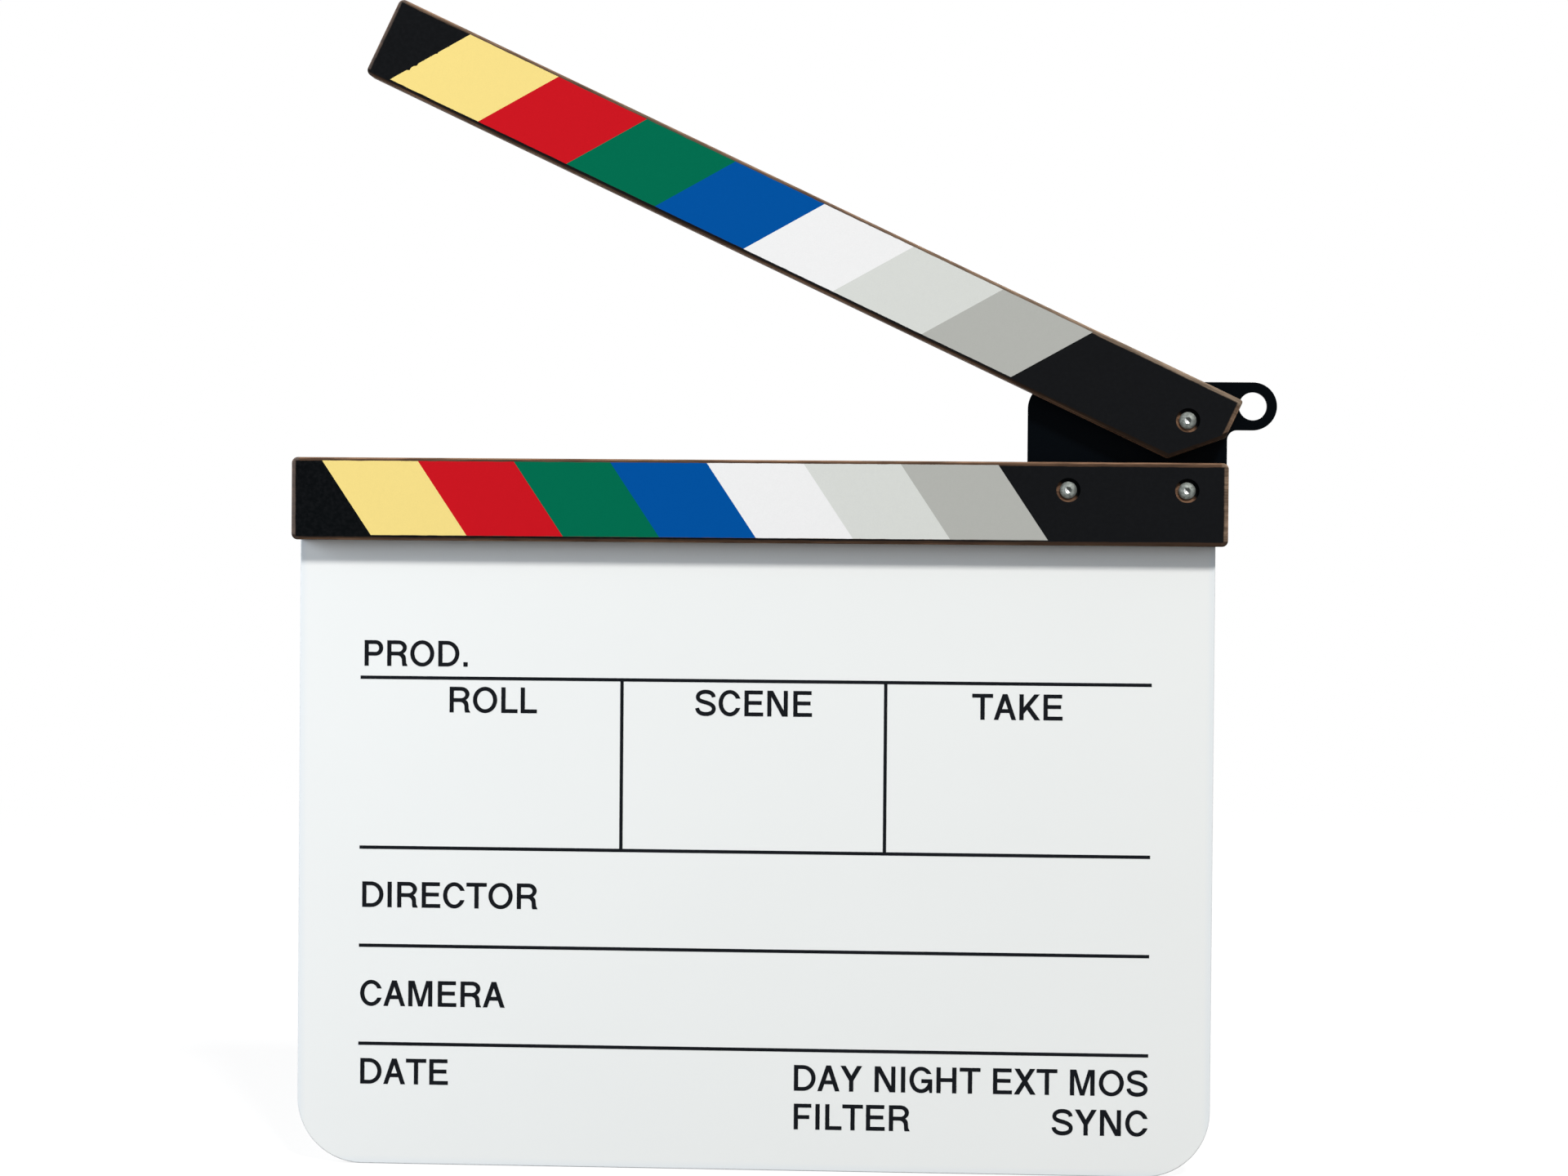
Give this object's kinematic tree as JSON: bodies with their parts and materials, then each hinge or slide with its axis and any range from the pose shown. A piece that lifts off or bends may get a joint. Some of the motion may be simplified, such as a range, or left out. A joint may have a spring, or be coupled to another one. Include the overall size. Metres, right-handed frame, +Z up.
{
  "type": "clapperboard",
  "caption": "Film clapperboard: white acrylic writing board with ruled fields under a pair of black wooden sticks with slanted colour patches, the upper stick hinged.",
  "frame": {"origin": "middle of the writing board's bottom edge, halfway through the board's thickness", "axes": "+X along the board towards the hinge, +Y from the written front to the back, +Z up. The sticks rest open as in the picture, 25.3 degrees from closed."},
  "size_m": [0.3208, 0.0171, 0.3817],
  "materials": {
    "board_acrylic": "gloss white",
    "board_ink": "printed black",
    "stick_wood": "black face with brown sanded edges",
    "plate_black": "satin black",
    "screw_steel": "bright zinc",
    "nylon": "natural nylon",
    "patch_yellow": "satin",
    "patch_red": "satin",
    "patch_green": "satin",
    "patch_blue": "satin",
    "patch_white": "satin",
    "patch_light_grey": "satin",
    "patch_mid_grey": "satin"
  },
  "bodies": {
    "slate": {"slate_board": "board_acrylic", "field_rules": "board_ink", "lower_stick": "stick_wood", "hinge_plate": "plate_black", "hinge_screws": "screw_steel", "hinge_washers": "screw_steel", "hinge_nuts": "screw_steel", "pivot_screw": "screw_steel", "glide_washer": "nylon", "pivot_washer": "screw_steel", "pivot_lock_nut": "screw_steel", "lock_nut_insert": "nylon", "board_screws": "screw_steel", "lower_patch_yellow": "patch_yellow", "lower_patch_red": "patch_red", "lower_patch_green": "patch_green", "lower_patch_blue": "patch_blue", "lower_patch_white": "patch_white", "lower_patch_light_grey": "patch_light_grey", "lower_patch_mid_grey": "patch_mid_grey"},
    "clap_stick": {"upper_stick": "stick_wood", "upper_patch_yellow": "patch_yellow", "upper_patch_red": "patch_red", "upper_patch_green": "patch_green", "upper_patch_blue": "patch_blue", "upper_patch_white": "patch_white", "upper_patch_light_grey": "patch_light_grey", "upper_patch_mid_grey": "patch_mid_grey"}
  },
  "joints": [
    {"name": "clap_hinge", "type": "hinge", "parent": "slate", "child": "clap_stick", "pos_m": [0.1401, 0, 0.24645], "axis": [0, 1, 0], "range_deg": [-25.3, 64.7]}
  ]
}
